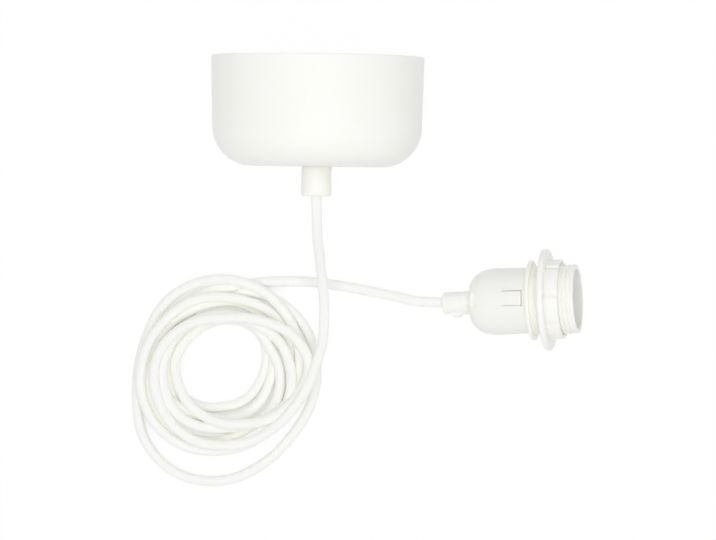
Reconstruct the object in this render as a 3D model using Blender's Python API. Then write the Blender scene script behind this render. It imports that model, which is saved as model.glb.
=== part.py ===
# Pendant light: ceiling cup, textile cord and threaded lamp holder, lying on a table with the cord coiled.
# Metres, +Z up, the table at z = 0. The origin is under the middle of the cup and the holder together.

import bpy
import bmesh
from math import ceil, cos, pi, radians, sin, sqrt, tan
from mathutils import Matrix, Vector

# Shared sizes

clearance = 0.0003
overshoot = 0.001
roundSteps = 48
gripSteps = 32
smallSteps = 16
cordRadius = 0.0029
coreRadius = 0.0012
coreSpread = 0.0015
gripBoreRadius = 0.0038
spigotRadius = 0.0049
gripScrewRadius = 0.0019
gripScrewRecess = 0.0006
cordShift = 0.0006
slotWidth = 0.0007
slotDepth = 0.0009

# Ceiling cup, measured along its own axis from the rim, with the base at negative heights

cupRimRadius = 0.060
cupHeight = 0.062
cupTaper = radians(1.45)
cupCorner = 0.0225
cupWall = 0.0022
cupRimRounding = 0.0006
cupAxisX = 0.0537
cupRimY = 0.1758

# Cord grip under the cup

neckLength = 0.0164
neckTopRadius = 0.0084
neckEndRadius = 0.0086
neckRounding = 0.0016
neckScrewSetback = 0.0080
cupSpigotReach = 0.0063
nutAcrossFlats = 0.0140
nutThickness = 0.0030

# Terminal block inside the cup

cupCordTail = 0.0065
blockLength = 0.0200
blockWidth = 0.0180
blockDepth = 0.0120
blockRimSetback = 0.0140
poleOffset = 0.0045
poleRadius = 0.0026
poleBore = 0.0016
poleInset = 0.0020
blockScrewInset = 0.0050
blockScrewRadius = 0.0011
blockScrewHead = 0.0015
blockScrewShank = 0.0018
blockHeadHeight = 0.0015
blockWellRadius = 0.0019
coreGrip = 0.0060

# Lamp holder, measured along its own axis from the outer end of its cord grip

holderTilt = radians(12.3)
holderTurn = radians(2.9)
ringCentreX = 0.1862
ringCentreY = 0.0403
gripLength = 0.0159
gripRadius = 0.00635
gripEndRounding = 0.0013
gripCollarRadius = 0.0066
gripCollarStart = 0.0125
gripCollarStep = 0.0004
bossCentre = 0.0078
bossHalfLength = 0.0048
bossHalfHeight = 0.0036
bossRise = 0.0021
holderSpigotReach = 0.0056
domeBack = 0.0162
domeFlat = 0.0085
domeDepth = 0.0148
capRadius = 0.01905
capMouthRadius = 0.0188
capWall = 0.0018
capCavityBack = 0.0210
capCavityFlat = 0.0070
capCavityDepth = 0.0111
capEnd = 0.0507
latchTurn = radians(5.7)
latchStart = 0.0342
latchEnd = 0.0487
latchWidth = 0.0084
latchGap = 0.00055
notchWidth = 0.0083
notchFloor = 0.0137
notchEnd = 0.0222

# Threaded sleeve

sleeveBack = 0.0340
barrelBore = 0.0146
flangeRadius = 0.0228
flangeThickness = 0.0019
flangeStart = 0.05105
threadRadius = 0.01975
mouthStation = 0.0780
mouthBore = 0.0170
sleeveStep = 0.0470
edgeRounding = 0.0006

# Shade ring

ringRadius = 0.02895
ringThickness = 0.0033
ringStation = 0.0605
ringRounding = 0.0011
ringThreadPlay = 0.00045
collarWall = 0.0026
collarLength = 0.0075
collarLobes = 8
grooveAngle = radians(9.0)
grooveDepth = 0.0008
grooveStart = radians(52.0)

# Contact carrier and lamp contacts

carrierFlange = 0.0022
carrierBack = 0.0360
carrierPlay = 0.0003
shellBore = 0.0134
shellWall = 0.0005
shellLength = 0.0200
stripThickness = 0.0005
stripWidth = 0.0050
contactRise = 0.0034
contactReach = 0.0030
contactDip = 0.0010
shellStripRise = 0.0040
rivetRadius = 0.0009
rivetHead = 0.0017
rivetHeadHeight = 0.0006
terminalOffset = 0.0082
terminalSize = 0.0060
terminalStart = 0.0375
terminalLength = 0.0080
terminalScrewStation = 0.0430
terminalScrewRadius = 0.0014
terminalScrewHead = 0.0024
terminalHeadHeight = 0.0018
holderCordEnd = 0.0245

# Cord coil, centred on the layout's own origin

coilInner = 0.0231
coilOuter = 0.0520
coilHeight = 0.0145
coilRounding = 0.0029
cordSpacing = 0.013

# Route of the cord in the layout's plan, chosen by hand, after it leaves each cord grip
cupLeadRoute = [
    (0.0541, 0.0892, 0.0577), (0.0542, 0.0823, 0.0550), (0.0546, 0.0731, 0.0494),
    (0.0557, 0.0651, 0.0422), (0.0566, 0.0559, 0.0344), (0.0576, 0.0489, 0.0283),
    (0.0582, 0.0431, 0.0237), (0.0588, 0.0343, 0.0180), (0.0586, 0.0224, 0.0127),
    (0.0577, 0.0128, 0.0101), (0.0554, 0.0045, 0.0090),
]
holderLeadRoute = [
    (0.1181, 0.0380, 0.0138), (0.1093, 0.0388, 0.0119), (0.1004, 0.0407, 0.0101),
    (0.0905, 0.0427, 0.0082), (0.0799, 0.0446, 0.0063), (0.0681, 0.0466, 0.0047),
    (0.0534, 0.0484, 0.0033), (0.0376, 0.0489, 0.0030), (0.0265, 0.0485, 0.0030),
]
outerTurnRoute = [
    (0.0550, -0.0097), (0.0536, -0.0166), (0.0508, -0.0242), (0.0472, -0.0314),
    (0.0424, -0.0387), (0.0370, -0.0457), (0.0310, -0.0516), (0.0250, -0.0563),
    (0.0184, -0.0604), (0.0112, -0.0636), (0.0037, -0.0661), (-0.0043, -0.0676),
    (-0.0142, -0.0669), (-0.0223, -0.0640), (-0.0296, -0.0600), (-0.0359, -0.0544),
    (-0.0402, -0.0487), (-0.0432, -0.0434), (-0.0454, -0.0381), (-0.0470, -0.0324),
    (-0.0481, -0.0282),
]
outerTurnHeight = 0.0030

# Worked out from the sizes above

cupBase = -cupHeight
neckTop = cupBase - clearance
neckEnd = neckTop - neckLength
cupAxisHeight = (cupRimRadius - cupRimRounding) * cos(cupTaper) + cupRimRounding * (1 + sin(cupTaper))
nutBase = cupBase + cupWall + clearance
spigotHoleRadius = spigotRadius + clearance
gripScrewHole = gripScrewRadius + clearance
blockTop = -blockRimSetback
blockBase = blockTop - blockLength
cupCordEnd = nutBase + cupSpigotReach + cupCordTail
ringHalf = ringThickness / 2
ringEdge = ringRadius - ringRounding
ringCentreZ = ringEdge * cos(holderTilt) + (ringHalf - ringRounding) * sin(holderTilt) + ringRounding
ringBore = threadRadius + ringThreadPlay
collarRadius = ringBore + collarWall
barrelRadius = capRadius - capWall - 2 * clearance
carrierFlangeRadius = mouthBore - carrierPlay
carrierRadius = barrelBore - carrierPlay
carrierFlangeBase = sleeveStep + clearance
carrierFront = carrierFlangeBase + carrierFlange
shellBack = carrierFront + clearance
stripTop = carrierFront + clearance + stripThickness
terminalEnd = terminalStart + terminalLength


# Helpers

def clearScene():
    for item in list(bpy.data.objects):
        bpy.data.objects.remove(item, do_unlink=True)


def paint(name, colour, roughness, metallic=0.0):
    material = bpy.data.materials.new(name)
    material.use_nodes = True
    shader = material.node_tree.nodes["Principled BSDF"]
    shader.inputs["Base Color"].default_value = (*colour, 1.0)
    shader.inputs["Roughness"].default_value = roughness
    shader.inputs["Metallic"].default_value = metallic
    return material


def emptyAt(name, matrix, parent=None):
    empty = bpy.data.objects.new(name, None)
    bpy.context.scene.collection.objects.link(empty)
    empty.parent = parent
    empty.matrix_local = matrix
    return empty


# Turns a bmesh into an object of its own, with its faces pointing out.
def objectFrom(name, shape, material, parent, place=Matrix()):
    bmesh.ops.recalc_face_normals(shape, faces=shape.faces)
    mesh = bpy.data.meshes.new(name)
    shape.to_mesh(mesh)
    shape.free()
    mesh.shade_smooth()
    mesh.set_sharp_from_angle(angle=radians(32))
    mesh.materials.append(material)
    item = bpy.data.objects.new(name, mesh)
    bpy.context.scene.collection.objects.link(item)
    item.parent = parent
    item.matrix_local = place
    return item


# Points on a circle, or on an ellipse where a depth is given, as (radius, height) pairs.
def arc(centre, radius, start, end, steps, depth=None):
    angles = [start + (end - start) * i / steps for i in range(steps + 1)]
    rise = radius if depth is None else depth
    return [(centre[0] + radius * cos(a), centre[1] + rise * sin(a)) for a in angles]


# Spins an outline of (radius, height) points about Z. An outline that starts on the axis is closed by it.
def turned(name, outline, material, parent, steps=roundSteps, place=Matrix()):
    shape = bmesh.new()
    points = [shape.verts.new((radius, 0, height)) for radius, height in outline]
    edges = [shape.edges.new(pair) for pair in zip(points, points[1:])]
    if outline[0][0] > 0:
        edges.append(shape.edges.new((points[-1], points[0])))
    bmesh.ops.spin(shape, geom=points + edges, cent=(0, 0, 0), axis=(0, 0, 1), angle=2 * pi, steps=steps)
    bmesh.ops.remove_doubles(shape, verts=shape.verts, dist=0.000002)
    return objectFrom(name, shape, material, parent, place)


def tube(inner, outer, low, high):
    return [(inner, high), (outer, high), (outer, low), (inner, low)]


def rod(radius, low, high):
    return [(0, high), (radius, high), (radius, low), (0, low)]


# A flat outline of (x, y) points, extruded from one height to another.
def prism(name, outline, low, high, material, parent, place=Matrix()):
    shape = bmesh.new()
    face = shape.faces.new([shape.verts.new((x, y, low)) for x, y in outline])
    made = bmesh.ops.extrude_face_region(shape, geom=[face])
    moved = [item for item in made["geom"] if isinstance(item, bmesh.types.BMVert)]
    bmesh.ops.translate(shape, verts=moved, vec=(0, 0, high - low))
    return objectFrom(name, shape, material, parent, place)


def box(name, low, high, material, parent, place=Matrix()):
    corners = [(low[0], low[1]), (high[0], low[1]), (high[0], high[1]), (low[0], high[1])]
    return prism(name, corners, low[2], high[2], material, parent, place)


def boolean(target, other, operation):
    modifier = target.modifiers.new(other.name, "BOOLEAN")
    modifier.operation = operation
    modifier.solver = "EXACT"
    modifier.object = other
    other.hide_render = True
    other.display_type = "WIRE"


# Cuts a round hole along the place's own Z.
def bore(target, radius, low, high, place=Matrix()):
    material = target.data.materials[0]
    cutter = turned(target.name + "_bore", rod(radius, low, high), material, target.parent, smallSteps, place)
    boolean(target, cutter, "DIFFERENCE")


# Cuts a rectangular pocket or slot.
def pocket(target, low, high, place=Matrix()):
    cutter = box(target.name + "_pocket", low, high, target.data.materials[0], target.parent, place)
    boolean(target, cutter, "DIFFERENCE")


# Puts an object's +Z along a direction, with its origin at the tip.
def pointing(tip, direction):
    turn = Vector((0, 0, 1)).rotation_difference(Vector(direction))
    return Matrix.Translation(tip) @ turn.to_matrix().to_4x4()


# A slotted screw from its tip along its place's own Z. A grub screw has no head.
def screw(name, shank, head, place, material, parent):
    radius, length = shank
    headRadius, headHeight = head
    top = length + headHeight
    outline = rod(radius, 0, length)
    if headHeight > 0:
        outline = [(0, top), (headRadius, top), (headRadius, length), (radius, length), (radius, 0), (0, 0)]
    made = turned(name, outline, material, parent, smallSteps, place)
    half = slotWidth / 2
    pocket(made, (-2 * headRadius, -half, top - slotDepth), (2 * headRadius, half, top + overshoot), place)


# Evenly spaced points on a smooth curve through the route's own points.
def smoothRoute(points, spacing):
    ends = [2 * points[0] - points[1]] + points + [2 * points[-1] - points[-2]]
    fine = []
    for before, start, end, after in zip(ends, ends[1:], ends[2:], ends[3:]):
        leave = (end - before) / 2
        arrive = (after - start) / 2
        for i in range(16):
            t = i / 16
            square = t * t
            cube = square * t
            point = (2 * cube - 3 * square + 1) * start + (cube - 2 * square + t) * leave
            fine.append(point + (3 * square - 2 * cube) * end + (cube - square) * arrive)
    fine.append(points[-1])
    total = sum((b - a).length for a, b in zip(fine, fine[1:]))
    step = total / ceil(total / spacing)
    spaced = [fine[0]]
    run = 0.0
    for a, b in zip(fine, fine[1:]):
        run += (b - a).length
        if run >= step * len(spaced) - step / 100:
            spaced.append(b)
    return spaced


# A cord or a core: a round tube along the points, with closed ends.
def strand(name, points, radius, material, parent, sides):
    curve = bpy.data.curves.new(name, "CURVE")
    curve.dimensions = "3D"
    curve.bevel_depth = radius
    curve.bevel_resolution = sides
    curve.use_fill_caps = True
    spline = curve.splines.new("POLY")
    spline.points.add(len(points) - 1)
    for place, point in zip(spline.points, points):
        place.co = (*point, 1.0)
    curve.materials.append(material)
    item = bpy.data.objects.new(name, curve)
    bpy.context.scene.collection.objects.link(item)
    item.parent = parent


# One insulated core: an S bend from the cord's end to a terminal, then straight on into it.
def core(name, start, end, straight, material, parent):
    steps = 10
    points = []
    for i in range(steps + 1):
        share = i / steps
        ease = share * share * (3 - 2 * share)
        side = start.lerp(end, ease)
        side.z = start.lerp(end, share).z
        points.append(side)
    points.append(points[-1] + Vector((0, 0, straight)))
    strand(name, points, coreRadius, material, parent, 2)


# Frames that the pieces hang from

def cupMatrix():
    place = Matrix.Translation((cupAxisX, cupRimY, cupAxisHeight))
    return place @ Matrix.Rotation(cupTaper - pi / 2, 4, "X")


def holderMatrix():
    turn = Matrix.Rotation(holderTurn, 4, "Z") @ Matrix.Rotation(pi / 2 - holderTilt, 4, "Y")
    ringCentre = Vector((ringCentreX, ringCentreY, ringCentreZ))
    place = Matrix.Translation(ringCentre - turn.to_3x3() @ Vector((0, 0, ringStation)))
    return place @ turn


# Moves the layout so that the cup and the holder together are centred on the origin.
def layoutMatrix():
    mouth = holderMatrix() @ Vector((0, 0, mouthStation))
    mouthReach = threadRadius * sqrt((sin(holderTilt) * cos(holderTurn)) ** 2 + sin(holderTurn) ** 2)
    ringReach = ringRadius * sqrt((sin(holderTilt) * sin(holderTurn)) ** 2 + cos(holderTurn) ** 2)
    middleX = (cupAxisX - cupRimRadius + mouth.x + mouthReach) / 2
    middleY = (cupRimY + cupRimRadius * sin(cupTaper) + ringCentreY - ringReach) / 2
    return Matrix.Translation((-middleX, -middleY, 0))


# Ceiling cup and its cord grip

def makeCup(frame, plastic):
    cornerRadius = cupRimRadius - (cupHeight - cupCorner) * tan(cupTaper) - cupCorner / cos(cupTaper)
    corner = (cornerRadius, cupBase + cupCorner)
    rimOuter = (cupRimRadius - cupRimRounding, -cupRimRounding)
    rimInner = (cupRimRadius - cupWall + cupRimRounding, -cupRimRounding)
    outline = [(spigotHoleRadius, cupBase + cupWall)]
    outline += arc(corner, cupCorner - cupWall, -pi / 2, -cupTaper, 6)
    outline += arc(rimInner, cupRimRounding, pi, pi / 2, 2)
    outline += arc(rimOuter, cupRimRounding, pi / 2, -cupTaper, 2)
    outline += arc(corner, cupCorner, -cupTaper, -pi / 2, 8)
    outline += [(spigotHoleRadius, cupBase)]
    turned("ceiling_cup", outline, plastic, frame)


def makeCupGrip(frame, plastic, nylon):
    spigotTop = nutBase + cupSpigotReach
    end = (neckEndRadius - neckRounding, neckEnd + neckRounding)
    outline = [(gripBoreRadius, spigotTop), (spigotRadius, spigotTop), (spigotRadius, neckTop)]
    outline += [(neckTopRadius, neckTop)]
    outline += arc(end, neckRounding, 0, -pi / 2, 4)
    outline += [(gripBoreRadius, neckEnd)]
    grip = turned("cup_cord_grip", outline, plastic, frame, gripSteps)
    station = neckEnd + neckScrewSetback
    bore(grip, gripScrewHole, 0, 2 * neckEndRadius, pointing((0, 0, station), (0, 1, 0)))
    tip = cordRadius - cordShift + clearance
    shank = (gripScrewRadius, neckTopRadius - gripScrewRecess - tip)
    screw("cup_grip_screw", shank, (gripScrewRadius, 0), pointing((0, tip, station), (0, 1, 0)), nylon, frame)
    corner = nutAcrossFlats / 2 / cos(pi / 6)
    hexagon = [(corner * cos(pi / 3 * i), corner * sin(pi / 3 * i)) for i in range(6)]
    nut = prism("cup_grip_nut", hexagon, nutBase, nutBase + nutThickness, plastic, frame)
    bore(nut, spigotHoleRadius + clearance, nutBase - overshoot, nutBase + nutThickness + overshoot)


def makeTerminalBlock(frame, plastic, brass, steel, insulation):
    low = (-blockWidth / 2, -blockDepth / 2, blockBase)
    high = (blockWidth / 2, blockDepth / 2, blockTop)
    block = box("terminal_block", low, high, plastic, frame)
    screwTip = coreRadius + clearance
    shank = (blockScrewRadius, blockScrewShank)
    head = (blockScrewHead, blockHeadHeight)
    for side, pole in ((-1, "live"), (1, "neutral")):
        across = side * poleOffset
        along = Matrix.Translation((across, 0, 0))
        bore(block, poleRadius + clearance, blockBase - overshoot, blockTop + overshoot, along)
        outline = tube(poleBore, poleRadius, blockBase + poleInset, blockTop - poleInset)
        sleeve = turned(pole + "_pole", outline, brass, frame, smallSteps, along)
        for end, height in (("lower", blockBase + blockScrewInset), ("upper", blockTop - blockScrewInset)):
            up = pointing((across, 0, height), (0, -1, 0))
            bore(block, blockWellRadius, 0, blockDepth, up)
            bore(sleeve, blockScrewRadius + clearance, 0, blockDepth, up)
            tip = pointing((across, -screwTip, height), (0, -1, 0))
            screw(f"{pole}_pole_screw_{end}", shank, head, tip, steel, frame)
        start = Vector((side * coreSpread, -cordShift, cupCordEnd + clearance))
        finish = Vector((across, 0, blockBase - clearance))
        core(pole + "_core_at_cup", start, finish, coreGrip + poleInset, insulation[pole], frame)


# Lamp holder

def makeHolderGrip(frame, plastic, nylon):
    spigotTop = gripLength + holderSpigotReach
    end = (gripRadius - gripEndRounding, gripEndRounding)
    collarWidth = gripCollarRadius - gripRadius
    outline = [(gripBoreRadius, 0)]
    outline += arc(end, gripEndRounding, -pi / 2, 0, 4)
    outline += arc((gripRadius, gripCollarStart), collarWidth, -pi / 2, 0, 2, gripCollarStep)
    outline += [(gripCollarRadius, gripLength), (spigotRadius, gripLength)]
    outline += [(spigotRadius, spigotTop), (gripBoreRadius, spigotTop)]
    grip = turned("holder_cord_grip", outline, plastic, frame, gripSteps)
    root = gripRadius - bossRise
    shoulder = gripRadius + bossRise / 2
    top = gripRadius + bossRise
    reach = bossHalfLength + bossRise
    wedge = [(-root, bossCentre - reach), (-shoulder, bossCentre - bossHalfLength / 2), (-top, bossCentre)]
    wedge += [(-shoulder, bossCentre + bossHalfLength / 2), (-root, bossCentre + reach)]
    sideways = Matrix(((0, 0, 1, 0), (1, 0, 0, 0), (0, 1, 0, 0), (0, 0, 0, 1)))
    boss = prism("grip_boss", wedge, -bossHalfHeight, bossHalfHeight, plastic, frame, sideways)
    boolean(grip, boss, "UNION")
    bore(grip, gripScrewHole, 0, 2 * top, pointing((0, 0, bossCentre), (0, -1, 0)))
    tip = cordRadius - cordShift + clearance
    shank = (gripScrewRadius, top - tip - gripScrewRecess)
    place = pointing((0, -tip, bossCentre), (0, -1, 0))
    screw("holder_grip_screw", shank, (gripScrewRadius, 0), place, nylon, frame)


def makeCap(frame, plastic):
    cavity = capRadius - capWall
    shoulder = capCavityBack + capCavityDepth
    outline = [(spigotHoleRadius, domeBack)]
    outline += arc((domeFlat, domeBack + domeDepth), capRadius - domeFlat, -pi / 2, 0, 9, domeDepth)
    outline += [(capMouthRadius, capEnd), (capMouthRadius - capWall, capEnd)]
    outline += arc((capCavityFlat, shoulder), cavity - capCavityFlat, 0, -pi / 2, 6, capCavityDepth)
    outline += [(spigotHoleRadius, capCavityBack)]
    cap = turned("holder_cap", outline, plastic, frame)
    inside = cavity - capWall
    outside = capRadius + capWall
    half = latchWidth / 2
    slotEdge = half + latchGap
    for turn in (pi - latchTurn, -latchTurn):
        place = Matrix.Rotation(turn, 4, "Z")
        pocket(cap, (inside, -slotEdge, latchStart), (outside, -half, latchEnd), place)
        pocket(cap, (inside, half, latchStart), (outside, slotEdge, latchEnd), place)
        pocket(cap, (inside, -slotEdge, latchEnd - latchGap), (outside, slotEdge, latchEnd), place)
        low = (notchFloor, -notchWidth / 2, domeBack - overshoot)
        pocket(cap, low, (outside, notchWidth / 2, notchEnd), place)


def makeSleeve(frame, plastic):
    flangeEnd = flangeStart + flangeThickness
    flangeEdge = flangeRadius - edgeRounding
    mouthEdge = (threadRadius - edgeRounding, mouthStation - edgeRounding)
    outline = [(barrelBore, sleeveBack), (barrelRadius, sleeveBack), (barrelRadius, flangeStart)]
    outline += arc((flangeEdge, flangeStart + edgeRounding), edgeRounding, -pi / 2, 0, 2)
    outline += arc((flangeEdge, flangeEnd - edgeRounding), edgeRounding, 0, pi / 2, 2)
    outline += [(threadRadius, flangeEnd)]
    outline += arc(mouthEdge, edgeRounding, 0, pi / 2, 2)
    outline += [(mouthBore, mouthStation), (mouthBore, sleeveStep), (barrelBore, sleeveStep)]
    turned("threaded_sleeve", outline, plastic, frame)


def makeShadeRing(frame, plastic):
    back = ringStation - ringHalf
    front = ringStation + ringHalf
    collarEnd = front + collarLength
    outline = [(ringBore, back)]
    outline += arc((ringEdge, back + ringRounding), ringRounding, -pi / 2, 0, 3)
    outline += arc((ringEdge, front - ringRounding), ringRounding, 0, pi / 2, 3)
    outline += [(collarRadius, front)]
    outline += arc((collarRadius - edgeRounding, collarEnd - edgeRounding), edgeRounding, 0, pi / 2, 2)
    outline += [(ringBore, collarEnd)]
    ring = turned("shade_ring", outline, plastic, frame)
    half = collarRadius * sin(grooveAngle / 2)
    low = (collarRadius - grooveDepth, -half, front)
    high = (collarRadius + grooveDepth, half, collarEnd + overshoot)
    for count in range(collarLobes):
        pocket(ring, low, high, Matrix.Rotation(pi - grooveStart + 2 * pi * count / collarLobes, 4, "Z"))


def makeCarrier(frame, plastic, brass, steel, insulation):
    outline = [(0, carrierFront), (carrierFlangeRadius, carrierFront)]
    outline += [(carrierFlangeRadius, carrierFlangeBase), (carrierRadius, carrierFlangeBase)]
    outline += [(carrierRadius, carrierBack), (0, carrierBack)]
    carrier = turned("contact_carrier", outline, plastic, frame, gripSteps)
    half = terminalSize / 2
    room = half + clearance
    shank = (terminalScrewRadius, half - coreRadius)
    head = (terminalScrewHead, terminalHeadHeight)
    for side, pole in ((1, "live"), (-1, "neutral")):
        middle = side * terminalOffset
        across = sorted((middle - side * room, side * 2 * carrierRadius))
        pocketLow = (-room, across[0], carrierBack - overshoot)
        pocket(carrier, pocketLow, (room, across[1], terminalEnd + clearance))
        low = (-half, middle - half, terminalStart)
        terminal = box(pole + "_terminal", low, (half, middle + half, terminalEnd), brass, frame)
        along = Matrix.Translation((0, middle, 0))
        outward = pointing((0, middle, terminalScrewStation), (0, side, 0))
        bore(terminal, coreRadius + clearance, terminalStart - overshoot, terminalEnd + overshoot, along)
        bore(terminal, terminalScrewRadius + clearance, 0, terminalSize, outward)
        bore(carrier, rivetRadius + clearance, carrierBack, carrierFront + overshoot, along)
        tip = pointing((0, middle + side * (coreRadius + clearance), terminalScrewStation), (0, side, 0))
        screw(pole + "_terminal_screw", shank, head, tip, steel, frame)
        start = Vector((0, side * coreSpread + cordShift, holderCordEnd + clearance))
        finish = Vector((0, middle, terminalStart - clearance))
        core(pole + "_core_at_holder", start, finish, coreGrip, insulation[pole], frame)


# A flat metal strip that follows a path of (y, height) points. Its thickness lies to the path's left.
def bentStrip(name, path, frame, material):
    shape = bmesh.new()
    half = stripWidth / 2
    rings = []
    for count, point in enumerate(path):
        before = Vector(path[max(count - 1, 0)])
        after = Vector(path[min(count + 1, len(path) - 1)])
        along = (after - before).normalized()
        inner = Vector(point)
        outer = inner + Vector((-along.y, along.x)) * stripThickness
        corners = [(-half, *inner), (half, *inner), (half, *outer), (-half, *outer)]
        rings.append([shape.verts.new(corner) for corner in corners])
    for low, high in zip(rings, rings[1:]):
        for i in range(4):
            following = (i + 1) % 4
            shape.faces.new((low[i], low[following], high[following], high[i]))
    shape.faces.new(rings[0])
    shape.faces.new(rings[-1])
    return objectFrom(name, shape, material, frame)


def makeRivet(name, middle, strip, frame, steel):
    place = Matrix.Translation((0, middle, 0))
    base = stripTop + clearance
    top = base + rivetHeadHeight
    bore(strip, rivetRadius + clearance, carrierFront, base, place)
    outline = [(0, top), (rivetHead, top), (rivetHead, base), (rivetRadius, base)]
    outline += [(rivetRadius, terminalEnd + clearance), (0, terminalEnd + clearance)]
    turned(name, outline, steel, frame, smallSteps, place)


def makeContacts(frame, brass, steel):
    foot = terminalOffset + stripWidth / 2
    bend = terminalOffset - stripWidth / 2
    raised = stripTop + contactRise
    centrePath = [(foot, stripTop), (bend, stripTop), (bend - contactReach, raised), (0, raised)]
    centrePath += [(-contactReach, raised - contactDip)]
    centre = bentStrip("centre_contact", centrePath, frame, brass)
    shellFoot = shellBore - clearance - stripThickness
    shellPath = [(-bend, stripTop), (-shellFoot, stripTop), (-shellFoot, stripTop + shellStripRise)]
    side = bentStrip("shell_contact", shellPath, frame, brass)
    makeRivet("centre_contact_rivet", terminalOffset, centre, frame, steel)
    makeRivet("shell_contact_rivet", -terminalOffset, side, frame, steel)
    outline = tube(shellBore, shellBore + shellWall, shellBack, shellBack + shellLength)
    turned("lamp_shell", outline, steel, frame, gripSteps)


# Cord

def makeCord(layout, textile):
    cup = cupMatrix()
    holder = holderMatrix()
    inCup = [cup @ Vector((0, -cordShift, station)) for station in (cupCordEnd, neckTop, neckEnd)]
    cupLead = smoothRoute(inCup + [Vector(point) for point in cupLeadRoute], cordSpacing)
    strand("cord_cup_lead", cupLead, cordRadius, textile, layout, 3)
    inHolder = [holder @ Vector((0, cordShift, station)) for station in (holderCordEnd, gripCollarStart, 0)]
    holderLead = smoothRoute(inHolder + [Vector(point) for point in holderLeadRoute], cordSpacing)
    strand("cord_holder_lead", holderLead, cordRadius, textile, layout, 3)
    outer = smoothRoute([Vector((x, y, outerTurnHeight)) for x, y in outerTurnRoute], cordSpacing)
    strand("cord_outer_turn", outer, cordRadius, textile, layout, 3)
    outside = coilOuter - coilRounding
    inside = coilInner + coilRounding
    top = coilHeight - coilRounding
    corners = [(outside, coilRounding), (outside, top), (inside, top), (inside, coilRounding)]
    outline = []
    for count, corner in enumerate(corners):
        start = (count - 1) * pi / 2
        outline += arc(corner, coilRounding, start, start + pi / 2, 2)
    turned("cord_coil", outline, textile, layout)


def main():
    clearScene()
    plastic = paint("white_plastic", (0.86, 0.86, 0.83), 0.38)
    nylon = paint("white_nylon", (0.80, 0.80, 0.78), 0.45)
    textile = paint("white_textile", (0.84, 0.84, 0.80), 0.85)
    brass = paint("brass", (0.78, 0.60, 0.30), 0.35, 1.0)
    steel = paint("nickel_plated_steel", (0.72, 0.71, 0.68), 0.3, 1.0)
    brown = paint("brown_insulation", (0.16, 0.07, 0.04), 0.5)
    blue = paint("blue_insulation", (0.05, 0.12, 0.45), 0.5)
    insulation = {"live": brown, "neutral": blue}
    layout = emptyAt("layout", layoutMatrix())
    cup = emptyAt("cup_frame", cupMatrix(), layout)
    holder = emptyAt("holder_frame", holderMatrix(), layout)
    makeCup(cup, plastic)
    makeCupGrip(cup, plastic, nylon)
    makeTerminalBlock(cup, nylon, brass, steel, insulation)
    makeHolderGrip(holder, plastic, nylon)
    makeCap(holder, plastic)
    makeSleeve(holder, plastic)
    makeShadeRing(holder, plastic)
    makeCarrier(holder, nylon, brass, steel, insulation)
    makeContacts(holder, brass, steel)
    makeCord(layout, textile)


main()
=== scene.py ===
# Pendant light lying on a white table: ceiling cup, textile cord in a loose coil, threaded lamp holder.
# Metres, +Z up, the table at z = 0.
import bpy
import numpy as np
from math import cos, pi, radians, sin, tan
from mathutils import Matrix, Vector


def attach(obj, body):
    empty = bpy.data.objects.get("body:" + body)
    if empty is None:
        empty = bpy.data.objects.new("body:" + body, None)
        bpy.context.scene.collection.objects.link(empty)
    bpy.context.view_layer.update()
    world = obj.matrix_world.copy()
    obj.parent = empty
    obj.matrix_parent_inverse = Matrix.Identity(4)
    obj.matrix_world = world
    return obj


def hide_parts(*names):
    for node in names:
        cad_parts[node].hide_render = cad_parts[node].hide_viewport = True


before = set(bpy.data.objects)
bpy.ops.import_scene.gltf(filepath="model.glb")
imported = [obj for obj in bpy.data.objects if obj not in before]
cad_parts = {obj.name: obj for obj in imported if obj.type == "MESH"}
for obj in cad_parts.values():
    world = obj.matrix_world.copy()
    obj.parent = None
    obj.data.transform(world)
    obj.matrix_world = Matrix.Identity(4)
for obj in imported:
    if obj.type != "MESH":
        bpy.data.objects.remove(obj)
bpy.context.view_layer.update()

mm = 0.001
print("frame loaded")

# Camera, straight above the table

cameraSetup = {"height": 2.2, "over": (-0.02285, -0.03845), "roll": 0.75, "lens": 191.3}

bpy.ops.object.select_all(action="DESELECT")
bpy.ops.object.camera_add(location=(*cameraSetup["over"], cameraSetup["height"]),
                          rotation=(0, 0, radians(cameraSetup["roll"])))
camera = bpy.context.object
camera.name = "shotCamera"
camera.data.lens = cameraSetup["lens"]
camera.data.clip_end = 20
bpy.context.scene.camera = camera
print("camera set")

# Materials


def linear(hexColour):
    channels = [int(hexColour[i:i + 2], 16) / 255 for i in (1, 3, 5)]
    return (*[c / 12.92 if c <= 0.04045 else ((c + 0.055) / 1.055) ** 2.4 for c in channels], 1.0)


# Adds one node. Settings go on the node, and inputs are values or the outputs of other nodes.
def addNode(tree, kind, settings=None, inputs=None):
    made = tree.nodes.new("ShaderNode" + kind)
    for name, value in (settings or {}).items():
        setattr(made, name, value)
    for name, value in (inputs or {}).items():
        if isinstance(value, bpy.types.NodeSocket):
            tree.links.new(value, made.inputs[name])
        else:
            made.inputs[name].default_value = value
    return made


def newMaterial(name):
    material = bpy.data.materials.new(name)
    material.use_nodes = True
    return material, material.node_tree, material.node_tree.nodes["Principled BSDF"]


plastic = {"drift": 24 * mm, "peelDepth": 0.02 * mm, "sheenBelow": 0.04, "sheenAbove": 0.05, "ior": 1.49,
           "specular": 0.35, "scatter": 2.2 * mm, "scatterTint": (1.0, 0.95, 0.85)}


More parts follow.
